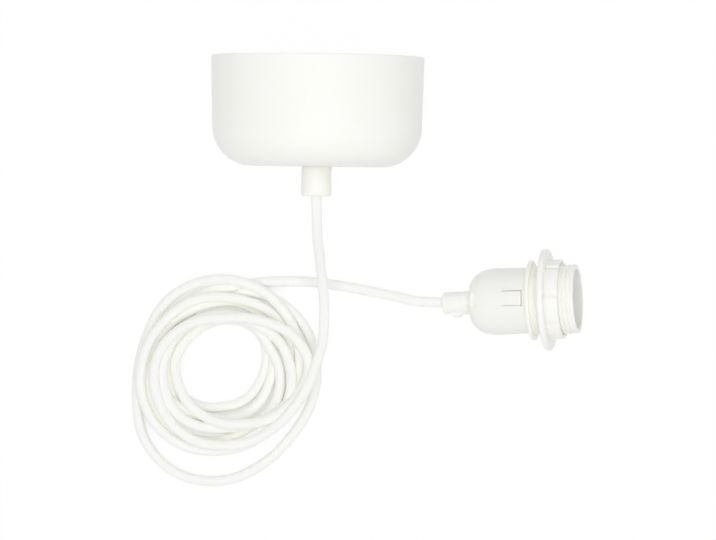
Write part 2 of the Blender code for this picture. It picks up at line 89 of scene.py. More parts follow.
# Moulded thermoplastic: an even satin skin with the faint orange peel of the mould and a slow drift of tone.
# Where it is given a depth, light goes a little way in, so that thin white walls and their edges stay light.
def mouldedPlastic(name, light, dark, roughness, peel=0.25, grain=1.1, depth=0.0):
    material, tree, shader = newMaterial(name)
    place = addNode(tree, "TexCoord").outputs["Object"]
    drift = addNode(tree, "TexNoise", {}, {"Vector": place, "Scale": 1 / plastic["drift"], "Detail": 2.0})
    tone = addNode(tree, "Mix", {"data_type": "RGBA"},
                   {"Factor": drift.outputs["Fac"], 6: linear(dark), 7: linear(light)})
    tree.links.new(tone.outputs[2], shader.inputs["Base Color"])
    skin = addNode(tree, "TexNoise", {}, {"Vector": place, "Scale": 1 / (grain * mm), "Detail": 3.0})
    sheen = addNode(tree, "MapRange", {}, {"Value": skin.outputs["Fac"], "From Min": 0.3, "From Max": 0.7,
                                           "To Min": roughness - plastic["sheenBelow"],
                                           "To Max": roughness + plastic["sheenAbove"]})
    tree.links.new(sheen.outputs["Result"], shader.inputs["Roughness"])
    bump = addNode(tree, "Bump", {}, {"Height": skin.outputs["Fac"], "Strength": peel,
                                      "Distance": plastic["peelDepth"]})
    tree.links.new(bump.outputs["Normal"], shader.inputs["Normal"])
    shader.inputs["IOR"].default_value = plastic["ior"]
    shader.inputs["Specular IOR Level"].default_value = plastic["specular"]
    shader.inputs["Subsurface Weight"].default_value = depth
    shader.inputs["Subsurface Radius"].default_value = plastic["scatterTint"]
    shader.inputs["Subsurface Scale"].default_value = plastic["scatter"]
    return material


metal = {"patches": 3 * mm, "marks": 0.35 * mm, "markDepth": 0.01 * mm, "polishBelow": 0.06, "polishAbove": 0.08}


# Drawn or turned metal: fine tool marks and a little tarnish in patches. Real marks are under 0.1 mm wide, too
# fine to show, and are drawn coarser.
def turnedMetal(name, bright, dull, roughness):
    material, tree, shader = newMaterial(name)
    place = addNode(tree, "TexCoord").outputs["Object"]
    patches = addNode(tree, "TexNoise", {}, {"Vector": place, "Scale": 1 / metal["patches"], "Detail": 4.0})
    tone = addNode(tree, "Mix", {"data_type": "RGBA"},
                   {"Factor": patches.outputs["Fac"], 6: linear(dull), 7: linear(bright)})
    tree.links.new(tone.outputs[2], shader.inputs["Base Color"])
    marks = addNode(tree, "TexNoise", {}, {"Vector": place, "Scale": 1 / metal["marks"], "Detail": 2.0})
    polish = addNode(tree, "MapRange", {}, {"Value": marks.outputs["Fac"],
                                            "To Min": roughness - metal["polishBelow"],
                                            "To Max": roughness + metal["polishAbove"]})
    tree.links.new(polish.outputs["Result"], shader.inputs["Roughness"])
    bump = addNode(tree, "Bump", {}, {"Height": marks.outputs["Fac"], "Strength": 0.15,
                                      "Distance": metal["markDepth"]})
    tree.links.new(bump.outputs["Normal"], shader.inputs["Normal"])
    shader.inputs["Metallic"].default_value = 1.0
    return material


braid = {"strands": 12, "lay": 6.5 * mm, "fuzz": 0.5 * mm, "depth": 0.12 * mm, "roughness": 0.85, "specular": 0.3,
         "sheen": 0.2, "scatterShare": 0.5, "scatter": 1.2 * mm, "scatterTint": (1.0, 1.0, 0.95)}


# Braided polyester sleeve: U runs once round the cord and V counts metres along it. Two sets of strands, about
# 0.9 mm wide, wind the two ways round and cross in small diamonds with fine fuzz on them. The fibres let light
# through a little, which keeps the creases between strands light.
def braidedTextile(name, light, dark):
    material, tree, shader = newMaterial(name)
    place = addNode(tree, "TexCoord")
    split = addNode(tree, "SeparateXYZ", {}, {"Vector": place.outputs["UV"]})
    around = addNode(tree, "Math", {"operation": "MULTIPLY"}, {0: split.outputs["X"], 1: braid["strands"] * pi})
    along = addNode(tree, "Math", {"operation": "MULTIPLY"},
                    {0: split.outputs["Y"], 1: braid["strands"] * pi / braid["lay"] / 2})
    right = addNode(tree, "Math", {"operation": "ADD"}, {0: around.outputs[0], 1: along.outputs[0]})
    left = addNode(tree, "Math", {"operation": "SUBTRACT"}, {0: around.outputs[0], 1: along.outputs[0]})
    rightWave = addNode(tree, "Math", {"operation": "SINE"}, {0: right.outputs[0]})
    leftWave = addNode(tree, "Math", {"operation": "SINE"}, {0: left.outputs[0]})
    crossing = addNode(tree, "Math", {"operation": "MULTIPLY"}, {0: rightWave.outputs[0], 1: leftWave.outputs[0]})
    weave = addNode(tree, "Math", {"operation": "MULTIPLY_ADD"}, {0: crossing.outputs[0], 1: 0.5, 2: 0.5})
    fuzz = addNode(tree, "TexNoise", {},
                   {"Vector": place.outputs["Object"], "Scale": 1 / braid["fuzz"], "Detail": 4.0})
    height = addNode(tree, "Math", {"operation": "MULTIPLY_ADD"},
                     {0: fuzz.outputs["Fac"], 1: 0.5, 2: weave.outputs[0]})
    # Painted shade: the colour runs darker in the low dips of the weave and lighter on its raised crossings
    paintedWeaveShade = addNode(tree, "MapRange", {}, {"Value": height.outputs[0], "From Min": 0.1, "From Max": 1.2})
    tone = addNode(tree, "Mix", {"data_type": "RGBA"},
                   {"Factor": paintedWeaveShade.outputs["Result"], 6: linear(dark), 7: linear(light)})
    tree.links.new(tone.outputs[2], shader.inputs["Base Color"])
    bump = addNode(tree, "Bump", {}, {"Height": height.outputs[0], "Strength": 0.4, "Distance": braid["depth"]})
    tree.links.new(bump.outputs["Normal"], shader.inputs["Normal"])
    shader.inputs["Roughness"].default_value = braid["roughness"]
    shader.inputs["Specular IOR Level"].default_value = braid["specular"]
    shader.inputs["Sheen Weight"].default_value = braid["sheen"]
    shader.inputs["Subsurface Weight"].default_value = braid["scatterShare"]
    shader.inputs["Subsurface Radius"].default_value = braid["scatterTint"]
    shader.inputs["Subsurface Scale"].default_value = braid["scatter"]
    return material


# Satin white ABS of the outer shells: slightly warm, with soft light edges
whiteAbs = mouldedPlastic("mouldedAbs", "#FDFDF7", "#FAF9F1", 0.42, depth=0.6)
# PBT of the contact carrier: duller and greyer
whitePbt = mouldedPlastic("mouldedPbt", "#F1F1ED", "#EBEBE6", 0.42, 0.3, 0.8)
# Polyamide of the terminal block and the grub screws: milky and more matt
polyamide = mouldedPlastic("mouldedPolyamide", "#EFEFEA", "#E8E8E2", 0.5, 0.35, 0.8)
# PVC on the two cores: dull and evenly coloured all through
brownPvc = mouldedPlastic("brownPvcInsulation", "#4A2C1C", "#3E2417", 0.5, 0.3, 0.6)
bluePvc = mouldedPlastic("bluePvcInsulation", "#2B4C9B", "#24418A", 0.5, 0.3, 0.6)
# Brass of the poles and contacts: yellow, a little tarnished. Nickel on screws, rivets and lamp shell: bright grey.
brass = turnedMetal("turnedBrass", "#E3C27A", "#C9A45C", 0.28)
nickel = turnedMetal("nickelPlatedSteel", "#DAD8D2", "#C6C3BC", 0.24)
# Braid: the lighter colour goes on the raised crossings and the darker one in the dips, a painted shade
textile = braidedTextile("braidedPolyester", "#FFFFFB", "#F8F8F3")
print("materials made")

# Frames: each runs along its piece's own axis

# The cup lies on its tapered side, and the holder on the edge of its ring, mouth a little up
lying = {"cup": (-46.948 * mm, 81.448 * mm, 59.996 * mm), "cupLean": 1.45,
         "holder": (26.517 * mm, -57.042 * mm, 15.540 * mm), "holderTurn": 2.9, "holderTilt": 12.3}

cupPlace = Matrix.Translation(lying["cup"]) @ Matrix.Rotation(radians(lying["cupLean"] - 90), 4, "X")
holderTurn = Matrix.Rotation(radians(lying["holderTurn"]), 4, "Z")
holderTilt = Matrix.Rotation(radians(90 - lying["holderTilt"]), 4, "Y")
holderPlace = Matrix.Translation(lying["holder"]) @ (holderTurn @ holderTilt)

smoothAngle = 35  # degrees between two faces, below which their shading runs on


# Settles a piece's place into its mesh and tells the frame which body it rides and which nodes it stands for
def finish(piece, material, nodes, body="light"):
    bpy.ops.object.select_all(action="DESELECT")
    piece.select_set(True)
    bpy.context.view_layer.objects.active = piece
    bpy.ops.object.transform_apply(location=True, rotation=True, scale=True)
    bpy.ops.object.shade_smooth_by_angle(angle=radians(smoothAngle))
    piece.data.materials.clear()
    piece.data.materials.append(material)
    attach(piece, body)
    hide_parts(*nodes)


# Cord: both leads and the coil between them, as one route. Millimetres from the coil's centre.

cordShape = {"centre": (-100.648, -94.352), "diameter": 5.8, "layer": 5.2, "pixel": 0.5775, "stations": 16,
             "cupStations": (-51.5, -62.3, -78.7), "holderStations": (0, 12.5, 24.5), "offAxis": 0.6,
             "coarse": 2.4, "step": 1.2, "sides": 20}
# Lengths at the two ends that keep their height, and how the rest settles
settling = {"cupHold": 127, "holderHold": 100, "rounds": 600, "loaded": 500, "load": 0.08, "lift": 0.5, "press": 0.4,
            "stiffness": 0.2, "give": 0.95, "ownLength": 4, "blend": 17, "restHeight": 3}

# The free stretches from the cup to the coil and from the coil to the holder
cupLead = [
    (54.1, 89.2, 57.7), (54.2, 82.3, 55.0), (54.6, 73.1, 49.4), (55.7, 65.1, 42.2), (56.6, 55.9, 34.4),
    (57.6, 48.9, 29.8), (58.2, 43.1, 27.2), (58.8, 34.3, 24.6), (58.6, 22.4, 23.0), (57.7, 12.8, 22.5),
    (55.4, 4.5, 22.4),
]
holderLead = [
    (16.5, 47.2, 2.9), (26.5, 48.5, 3.0), (37.6, 48.9, 3.0), (53.4, 48.4, 3.3), (68.1, 46.6, 4.7),
    (79.9, 44.6, 6.3), (90.5, 42.7, 8.2), (100.4, 40.7, 10.1), (109.3, 38.8, 11.9), (118.1, 38.0, 13.8),
]
# Radius of each turn every 22.5 degrees, clockwise from the right, read strand by strand in the photograph's pixels
turnRadii = [
    (93.5, 85.3, 82.0, 81.5, 80.3, 80.0, 76.0, 71.3, 66.8, 60.2, 53.7, 48.8, 46.5, 51.6, 61.3, 77.0),
    (87.0, 81.0, 73.0, 63.5, 58.3, 53.5, 50.3, 47.5, 46.8, 44.3, 42.5, 43.3, 45.1, 47.6, 49.6, 47.3),
    (43.6, 41.5, 41.5, 41.7, 42.0, 45.7, 49.2, 50.7, 52.0, 55.0, 59.0, 63.5, 70.0, 79.0, 86.2, 91.5),
    (94.5, 97.0, 99.3, 107.3, 115.7, 117.0, 107.7, 91.5, 82.7, 80.7, 84.0, 85.6, 85.8, 84.8, 82.4, 79.7),
    (77.0, 76.0, 72.0, 65.0, 63.0, 65.5, 65.5, 62.3, 59.0, 55.3, 52.5, 50.3, 50.0, 51.0, 54.3, 62.0),
    (68.0, 74.0, 79.5, 82.5, 85.5, 89.0, 89.0, 85.5, 80.0, 74.9, 71.3, 70.3, 67.9, 68.7, 71.8, 70.5),
    (71.5, 71.5, 69.5, 66.0, 63.5, 64.0, 62.0, 57.0, 53.5, 54.5, 53.5, 50.5, 48.5, 49.3, 50.0, 50.5),
    (56.5, 62.7, 67.0, 68.5, 75.5, 79.5, 80.0, 77.0, 73.5, 69.5, 65.5, 62.7, 63.3, 64.3, 60.8, 55.0),
    (51.3, 50.9, 53.0, 54.8, 54.6, 54.5, 60.5, 65.0, 67.5, 69.5, 71.0, 72.6, 77.0),
]
# How many strands each turn lies on at the same places, before it settles
turnLevels = [
    (2.6, 2.6, 2.4, 2.2, 2.0, 2.0, 2.0, 2.0, 2.0, 2.0, 2.0, 2.0, 2.0, 2.1, 2.2, 2.3),
    (2.2, 2.2, 2.1, 2.1, 2.1, 2.0, 1.9, 1.6, 1.4, 1.1, 0.7, 0.4, 0.3, 0.3, 0.3, 0.3),
    (0.2, 0.0, 0.0, 0.0, 0.0, 0.0, 0.0, 0.0, 0.0, 0.0, 0.0, 0.0, 0.1, 0.1, 0.1, 0.1),
    (0.1, 0.0, 0.0, 0.0, 0.0, 0.0, 0.0, 0.1, 0.3, 0.8, 1.4, 1.6, 1.8, 1.7, 1.5, 1.4),
    (1.3, 1.2, 1.0, 1.1, 1.3, 1.3, 1.3, 1.4, 1.5, 1.4, 1.3, 1.2, 1.1, 1.2, 1.2, 1.3),
    (1.5, 1.4, 1.2, 1.2, 1.1, 1.0, 1.0, 1.0, 1.1, 1.3, 1.4, 1.5, 1.3, 1.0, 0.7, 0.5),
    (0.3, 0.3, 0.3, 0.2, 0.1, 0.1, 0.1, 0.2, 0.4, 0.6, 0.8, 0.9, 0.9, 0.9, 0.8, 0.8),
    (0.9, 0.8, 0.7, 0.7, 0.7, 0.6, 0.5, 0.6, 0.8, 0.9, 0.9, 0.9, 0.8, 0.6, 0.4, 0.4),
    (0.5, 0.5, 0.4, 0.4, 0.4, 0.3, 0.5, 0.5, 0.5, 0.5, 0.4, 0.3, 0.3),
]


# Smooth curve through the points, with a given number of steps between each two
def smoothed(points, steps):
    ends = [2 * points[0] - points[1]] + points + [2 * points[-1] - points[-2]]
    fine = []
    for before, start, end, after in zip(ends, ends[1:], ends[2:], ends[3:]):
        for i in range(steps):
            t = i / steps
            fine.append(0.5 * (2 * start + (end - before) * t + (2 * before - 5 * start + 4 * end - after) * t * t
                               + (3 * start - before - 3 * end + after) * t ** 3))
    return fine + [points[-1]]


# Evenly spaced points on a line through the given ones
def evenly(points, spacing):
    points = np.array(points)
    run = np.concatenate([[0], np.cumsum(np.linalg.norm(np.diff(points, axis=0), axis=1))])
    wanted = np.linspace(0, run[-1], int(round(run[-1] / spacing)) + 1)
    return np.column_stack([np.interp(wanted, run, points[:, axis]) for axis in range(3)])


# Lets the strands settle on the table and on each other: where two overlap in plan, the upper one is lifted clear
def settle(points, held):
    s = settling
    diameter = cordShape["diameter"]
    spacing = np.linalg.norm(points[1] - points[0])
    count = len(points)
    apart = np.abs(np.arange(count)[:, None] - np.arange(count)[None, :]) * spacing
    flat = np.linalg.norm(points[:, None, :2] - points[None, :, :2], axis=2)
    soft = s["give"] * diameter
    near = (flat < soft) & (apart > s["ownLength"] * diameter)
    lower, upper = np.nonzero(near & (points[:, None, 2] < points[None, :, 2]))
    clear = np.sqrt(np.maximum(soft ** 2 - flat[lower, upper] ** 2, 0))
    height = points[:, 2].copy()
    for turn in range(s["rounds"]):
        lack = np.maximum(clear - (height[upper] - height[lower]), 0)
        lift = np.zeros(count)
        press = np.zeros(count)
        np.maximum.at(lift, upper, lack)
        np.maximum.at(press, lower, lack)
        height = height + s["lift"] * lift - s["press"] * press
        if turn < s["loaded"]:
            height = height - s["load"]
        stiff = height.copy()
        for spread in (1, 2, 3):
            middle = 0.5 * (height[:-2 * spread] + height[2 * spread:])
            stiff[spread:-spread] += s["stiffness"] * (middle - height[spread:-spread])
        height = np.maximum(np.where(held, points[:, 2], stiff), diameter / 2)
    return np.column_stack([points[:, :2], height])


# A point on the cord inside a grip, where it lies a little off the grip's axis
def inGrip(place, offAxis, station):
    return place @ Vector((0, offAxis * mm, station * mm))


# The route as it was read, in millimetres from the coil's centre
def readRoute(centre):
    s = cordShape
    inCup = [inGrip(cupPlace, -s["offAxis"], station) / mm - centre for station in s["cupStations"]]
    inHolder = [inGrip(holderPlace, s["offAxis"], station) / mm - centre for station in s["holderStations"]]
    turns = []
    for radii, levels in zip(turnRadii, turnLevels):
        for reach, level in zip(radii, levels):
            turns.append((reach * s["pixel"], s["diameter"] / 2 + level * s["layer"]))
    # The stations are joined by radius and angle, so that a turn stays round between them
    step = 2 * pi / s["stations"]
    polar = [Vector((reach, i * step, height)) for i, (reach, height) in enumerate(turns)]
    coil = [Vector((p.x * cos(-p.y), p.x * sin(-p.y), p.z)) for p in smoothed(polar, 6)]
    toCoil = smoothed(inCup + [Vector(p) for p in cupLead], 12)
    fromCoil = smoothed([Vector(p) for p in holderLead] + inHolder, 12)
    return evenly(toCoil + coil[2:-2] + fromCoil, s["coarse"])


# The photograph shows a high strand a little too far out, so it moves in under the camera and settles again
def laidRoute():
    s = settling
    centre = Vector((*cordShape["centre"], 0))
    points = readRoute(centre)
    reached = np.arange(len(points)) * cordShape["coarse"]
    held = (reached < s["cupHold"]) | (reached[::-1] < s["holderHold"])
    settled = settle(points, held)
    eye = np.array(cameraSetup["over"]) / mm - np.array(centre)[:2]
    sink = np.where(held, 0, (settled[:, 2] - s["restHeight"]) / (cameraSetup["height"] / mm - s["restHeight"]))
    sink = np.convolve(np.pad(sink, s["blend"] // 2, mode="edge"), np.ones(s["blend"]) / s["blend"], mode="valid")
    points[:, :2] += (eye - points[:, :2]) * sink[:, None]
    settled = settle(np.column_stack([points[:, :2], settled[:, 2]]), held) + np.array(centre)
    return evenly(smoothed([Vector(p) for p in settled], 4), cordShape["step"]) * mm


# A round tube along the points. U goes once round it, and V counts metres along it.
def tubeAlong(name, points, radius, sides):
    steps = np.diff(points, axis=0)
    run = np.concatenate([[0], np.cumsum(np.linalg.norm(steps, axis=1))])
    along = np.gradient(points, axis=0)
    along /= np.linalg.norm(along, axis=1)[:, None]
    side = np.cross(along[0], (0, 0, 1))
    side /= np.linalg.norm(side)
    corners = []
    for point, direction in zip(points, along):
        side = side - direction * side.dot(direction)
        side /= np.linalg.norm(side)
        other = np.cross(direction, side)
        for i in range(sides):
            angle = 2 * pi * i / sides
            corners.append(point + radius * (side * cos(angle) + other * sin(angle)))
    faces = []
    places = []
    for i in range(len(points) - 1):
        for j in range(sides):
            k = (j + 1) % sides
            faces.append((i * sides + j, i * sides + k, (i + 1) * sides + k, (i + 1) * sides + j))
            left, right = j / sides, (j + 1) / sides
            places += [(left, run[i]), (right, run[i]), (right, run[i + 1]), (left, run[i + 1])]
    last = (len(points) - 1) * sides
    faces.append(tuple(reversed(range(sides))))
    faces.append(tuple(range(last, last + sides)))
    places += [(0, 0)] * sides + [(0, run[-1])] * sides
    mesh = bpy.data.meshes.new(name)
    mesh.from_pydata([tuple(c) for c in corners], [], faces)
    layer = mesh.uv_layers.new(name="alongCord")
    layer.data.foreach_set("uv", np.array(places, np.float32).ravel())
    piece = bpy.data.objects.new(name, mesh)
    bpy.context.scene.collection.objects.link(piece)
    return piece


route = laidRoute()
cord = tubeAlong("textileCord", route, cordShape["diameter"] / 2 * mm, cordShape["sides"])
finish(cord, textile, ["cord_cup_lead", "cord_holder_lead", "cord_outer_turn", "cord_coil"])

# Round pieces are drawn as half an outline and spun about their axis


# Rounds the corners of an outline given as (radius, station, fillet) in millimetres
def rounded(corners):
    outline = []
    for i, (reach, station, fillet) in enumerate(corners):
        here = Vector((reach, station))
        back = (Vector(corners[i - 1][:2]) - here).normalized()
        ahead = (Vector(corners[(i + 1) % len(corners)][:2]) - here).normalized()
        if not fillet:
            outline.append(here)
            continue
        half = back.angle(ahead) / 2
        centre = here + (back + ahead).normalized() * fillet / sin(half)
        start = here + back * fillet / tan(half) - centre
        end = here + ahead * fillet / tan(half) - centre
        steps = max(4, int(fillet * 1.4))
        for k in range(steps + 1):
            outline.append(centre + start.slerp(end, k / steps) * fillet)
    return outline


mergeDistance = 0.001 * mm


# A single vertex, drawn along the outline by extrusion and spun round
def spun(name, outline, steps, place):
    bpy.ops.object.select_all(action="DESELECT")
    bpy.ops.mesh.primitive_plane_add(size=mm)
    piece = bpy.context.object
    piece.name = name
    bpy.ops.object.mode_set(mode="EDIT")
    bpy.ops.mesh.select_all(action="SELECT")
    bpy.ops.mesh.merge(type="CENTER")
    bpy.ops.transform.translate(value=(outline[0].x * mm, 0, outline[0].y * mm))
    for before, after in zip(outline, outline[1:] + outline[:1]):
        move = (after - before) * mm
        bpy.ops.mesh.extrude_region_move(TRANSFORM_OT_translate={"value": (move.x, 0, move.y)})
    bpy.ops.mesh.select_all(action="SELECT")
    bpy.ops.mesh.remove_doubles(threshold=mergeDistance)
    bpy.ops.mesh.spin(steps=steps, angle=2 * pi, center=(0, 0, 0), axis=(0, 0, 1))
    bpy.ops.mesh.select_all(action="SELECT")
    bpy.ops.mesh.remove_doubles(threshold=mergeDistance)
    bpy.ops.mesh.normals_make_consistent(inside=False)
    bpy.ops.object.mode_set(mode="OBJECT")
    piece.matrix_world = place
    return piece


def cutWith(piece, cutter, operation="DIFFERENCE"):
    bpy.ops.object.select_all(action="DESELECT")
    piece.select_set(True)
    bpy.context.view_layer.objects.active = piece
    modifier = piece.modifiers.new("cut", "BOOLEAN")
    modifier.operation = operation
    modifier.solver = "EXACT"
    modifier.object = cutter
    bpy.ops.object.modifier_apply(modifier="cut")
    bpy.data.objects.remove(cutter, do_unlink=True)


# Rounds all edges of the active piece
def soften(edge):
    bpy.ops.object.transform_apply(location=False, rotation=False, scale=True)
    bpy.ops.object.mode_set(mode="EDIT")
    bpy.ops.mesh.select_all(action="SELECT")
    bpy.ops.mesh.bevel(offset=edge * mm, segments=4, affect="EDGES")
    bpy.ops.object.mode_set(mode="OBJECT")


# A box with rounded edges, from corner to corner in millimetres, in a piece's own frame
def block(low, high, place, edge=0.0):
    low, high = Vector(low) * mm, Vector(high) * mm
    bpy.ops.object.select_all(action="DESELECT")
    bpy.ops.mesh.primitive_cube_add(size=1)
    made = bpy.context.object
    made.matrix_world = place @ Matrix.Translation((low + high) / 2) @ Matrix.Diagonal((*(high - low), 1))
    if edge:
        soften(edge)
    return made


def drill(piece, radius, length, place):
    bpy.ops.object.select_all(action="DESELECT")
    bpy.ops.mesh.primitive_cylinder_add(vertices=32, radius=radius * mm, depth=length * mm)
    cutter = bpy.context.object
    cutter.matrix_world = place
    cutWith(piece, cutter)


# Presses a rounded screw thread into the rows between two stations of a spun piece. A higher crest power makes
# the crests broader and the grooves narrower.
def thread(piece, low, high, pitch, depth, reach, crest):
    for vertex in piece.data.vertices:
        station = vertex.co.z / mm
        distance = vertex.co.xy.length / mm
        if not low <= station <= high or abs(distance - reach) > 0.02:
            continue
        turn = np.arctan2(vertex.co.y, vertex.co.x) / (2 * pi)
        fade = min(1, (station - low) / pitch, (high - station) / pitch)
        wave = 0.5 - 0.5 * cos(2 * pi * (station / pitch - turn))
        share = (distance - depth * fade * wave ** crest) / distance
        vertex.co.x *= share
        vertex.co.y *= share


# Closely spaced outline points along a straight stretch, for a thread to shape
def rows(reach, low, high, spacing=0.2):
    count = int(round((high - low) / spacing))
    return [(reach, low + (high - low) * i / count, 0) for i in range(count + 1)]


# Ceiling cup: a deep shell with a wide round corner. Stations run from the rim, inwards being negative.

cupShape = {"rim": 60.0, "height": 62.0, "taper": 1.45, "corner": 22.5, "wall": 2.2, "lip": 0.6, "hole": 5.2,
            "edge": 0.3, "facets": 192}


def makeCup():
    s = cupShape
    foot = s["rim"] - s["height"] * tan(radians(s["taper"]))
    inner = s["rim"] - s["wall"]
    corners = [(s["hole"], -s["height"], s["edge"]), (foot, -s["height"], s["corner"]), (s["rim"], 0, s["lip"]),
               (inner, 0, s["lip"]), (foot - s["wall"], s["wall"] - s["height"], s["corner"] - s["wall"]),
               (s["hole"], s["wall"] - s["height"], s["edge"])]
    cup = spun("cupShell", rounded(corners), s["facets"], cupPlace)
    finish(cup, whiteAbs, ["ceiling_cup"])


# Cord grip under the cup: a collar outside, and a threaded spigot that the nut holds inside

neckShape = {"top": -61.98, "end": -78.7, "topRadius": 8.4, "endRadius": 8.6, "round": 1.6, "bore": 3.8,
             "spigot": 4.9, "spigotTop": -53.2, "screwStation": -70.7, "screwHole": 2.2, "screwDepth": 20,
             "edge": 0.3, "mouthEdge": 0.6, "facets": 96}


def makeNeck():
    s = neckShape
    corners = [(s["bore"], s["end"], s["mouthEdge"]), (s["bore"], s["spigotTop"], s["edge"]),
               (s["spigot"], s["spigotTop"], 0), (s["spigot"], s["top"], 0), (s["topRadius"], s["top"], s["edge"]),
               (s["endRadius"], s["end"], s["round"])]
    neck = spun("cupNeck", rounded(corners), s["facets"], cupPlace)
    across = cupPlace @ Matrix.Translation((0, 0, s["screwStation"] * mm)) @ Matrix.Rotation(-pi / 2, 4, "X")
    drill(neck, s["screwHole"], s["screwDepth"], across @ Matrix.Translation((0, 0, s["screwDepth"] / 2 * mm)))
    finish(neck, whiteAbs, ["cup_cord_grip"])


makeCup()
makeNeck()
print("cup made")

# Lamp holder. Stations run from the outer end of its cord grip towards the mouth.

gripShape = {"length": 15.9, "radius": 6.35, "collar": 6.6, "collarStart": 12.5, "collarStep": 0.1, "bore": 3.8,
             "spigot": 4.9, "spigotTop": 21.5, "bossCentre": 7.8, "bossHalf": 4.8, "bossRise": 2.5, "bossRoot": 1.2,
             "bossEdge": 0.7, "bossSide": 3.6, "screwHole": 2.2, "screwDepth": 20, "edge": 0.3, "mouthEdge": 0.6,
             "collarEdge": 0.25, "collarFoot": 0.2, "round": 1.3, "facets": 96}


def makeGrip():
    s = gripShape
    corners = [(s["bore"], 0, s["mouthEdge"]), (s["bore"], s["spigotTop"], s["edge"]),
               (s["spigot"], s["spigotTop"], s["edge"]), (s["spigot"], s["length"], 0),
               (s["collar"], s["length"], s["collarEdge"]), (s["collar"], s["collarStart"], s["collarFoot"]),
               (s["radius"], s["collarStart"] - s["collarStep"], 0), (s["radius"], 0, s["round"])]
    grip = spun("holderGrip", rounded(corners), s["facets"], holderPlace)
    # The boss is a prism whose ridge runs across the grip. A triangle of radius 1 is 1.5 high.
    deep = (s["bossRise"] + s["bossRoot"]) / 1.5
    bpy.ops.object.select_all(action="DESELECT")
    bpy.ops.mesh.primitive_cylinder_add(vertices=3, radius=1, depth=2)
    boss = bpy.context.object
    turned = Matrix(((0, 0, 1), (0, -1, 0), (1, 0, 0))).to_4x4()
    middle = (0, (deep - s["radius"] - s["bossRise"]) * mm, s["bossCentre"] * mm)
    size = Matrix.Diagonal((s["bossHalf"] / cos(pi / 6) * mm, deep * mm, s["bossSide"] * mm, 1))
    boss.matrix_world = holderPlace @ Matrix.Translation(middle) @ turned @ size
    soften(s["bossEdge"])
    cutWith(grip, boss, "UNION")
    across = holderPlace @ Matrix.Translation((0, 0, s["bossCentre"] * mm)) @ Matrix.Rotation(pi / 2, 4, "X")
    drill(grip, s["screwHole"], s["screwDepth"], across @ Matrix.Translation((0, 0, s["screwDepth"] / 2 * mm)))
    finish(grip, whiteAbs, ["holder_cord_grip"])


capShape = {"back": 16.2, "flat": 8.5, "dome": 14.8, "radius": 19.05, "mouth": 18.8, "end": 50.7, "wall": 1.8,
            "cavityBack": 21.0, "cavityFlat": 7.0, "cavityDepth": 11.1, "hole": 5.2, "latchTurn": 5.7,
            "latchStart": 37.0, "latchEnd": 48.8, "latchWidth": 8.4, "latchSlits": (0.3, 0.14), "latchGap": 0.7,
            "latchCorner": 0.62, "notchWidth": 8.3, "notchFloor": 13.7, "notchEnd": 22.2, "notchEdge": 0.6,
            "past": 3, "domeSteps": 32, "cavitySteps": 24, "facets": 144}


# Quarter of an ellipse, from its flat end out to its side
def domeArc(flat, reach, back, depth, steps):
    turns = [-pi / 2 + pi / 2 * i / steps for i in range(steps + 1)]
    return [Vector((flat + (reach - flat) * cos(turn), back + depth * (1 + sin(turn)))) for turn in turns]


def makeCap():
    s = capShape
    inner = s["radius"] - s["wall"]
    outline = [Vector((s["hole"], s["back"]))]
    outline += domeArc(s["flat"], s["radius"], s["back"], s["dome"], s["domeSteps"])
    outline += [Vector((s["mouth"], s["end"])), Vector((s["mouth"] - s["wall"], s["end"]))]
    outline += domeArc(s["cavityFlat"], inner, s["cavityBack"], s["cavityDepth"], s["cavitySteps"])[::-1]
    outline.append(Vector((s["hole"], s["cavityBack"])))
    cap = spun("holderCap", outline, s["facets"], holderPlace)
    # The cutters reach from inside the wall to past its outside
    inside = inner - s["wall"]
    outside = s["radius"] + s["wall"]
    half = s["latchWidth"] / 2
    end = s["latchEnd"] - s["latchGap"]
    for turn in (180 - s["latchTurn"], -s["latchTurn"]):
        place = holderPlace @ Matrix.Rotation(radians(turn), 4, "Z")
        for side, slit in zip((-half, half), s["latchSlits"]):
            cutWith(cap, block((inside, side - slit / 2, s["latchStart"]), (outside, side + slit / 2, end), place))
            corner = Matrix.Translation(((inside + outside) / 2 * mm, side * mm, (end + s["latchGap"] / 2) * mm))
            drill(cap, s["latchCorner"], outside - inside, place @ corner @ Matrix.Rotation(pi / 2, 4, "Y"))
        cutWith(cap, block((inside, -half, end), (outside, half, end + s["latchGap"]), place))
        cutWith(cap, block((s["notchFloor"], -s["notchWidth"] / 2, s["back"] - s["past"]),
                           (outside + s["past"], s["notchWidth"] / 2, s["notchEnd"]), place, s["notchEdge"]))
    finish(cap, whiteAbs, ["holder_cap"])


sleeveShape = {"back": 34.0, "barrel": 16.65, "bore": 14.6, "step": 47.0, "mouth": 78.0, "mouthBore": 17.0,
               "flange": 22.8, "flangeStart": 51.05, "flangeEnd": 52.95, "thread": 19.75, "pitch": 2.45,
               "depth": 1.1, "crest": 1.4, "threadIn": 0.3, "threadOut": 0.9, "boreEdge": 0.3, "barrelEdge": 0.4,
               "lipInside": 0.4, "lipOutside": 0.6, "flangeEdge": 0.5, "facets": 144}


def makeSleeve():
    s = sleeveShape
    low, high = s["flangeEnd"] + s["threadIn"], s["mouth"] - s["threadOut"]
    corners = [(s["bore"], s["back"], s["boreEdge"]), (s["bore"], s["step"], 0), (s["mouthBore"], s["step"], 0),
               (s["mouthBore"], s["mouth"], s["lipInside"]), (s["thread"], s["mouth"], s["lipOutside"])]
    corners += rows(s["thread"], low, high)[::-1]
    corners += [(s["thread"], s["flangeEnd"], 0), (s["flange"], s["flangeEnd"], s["flangeEdge"]),
                (s["flange"], s["flangeStart"], s["flangeEdge"]), (s["barrel"], s["flangeStart"], 0),
                (s["barrel"], s["back"], s["barrelEdge"])]
    sleeve = spun("threadedSleeve", rounded(corners), s["facets"], holderPlace)
    thread(sleeve, low, high, s["pitch"], s["depth"], s["thread"], s["crest"])
    finish(sleeve, whiteAbs, ["threaded_sleeve"])


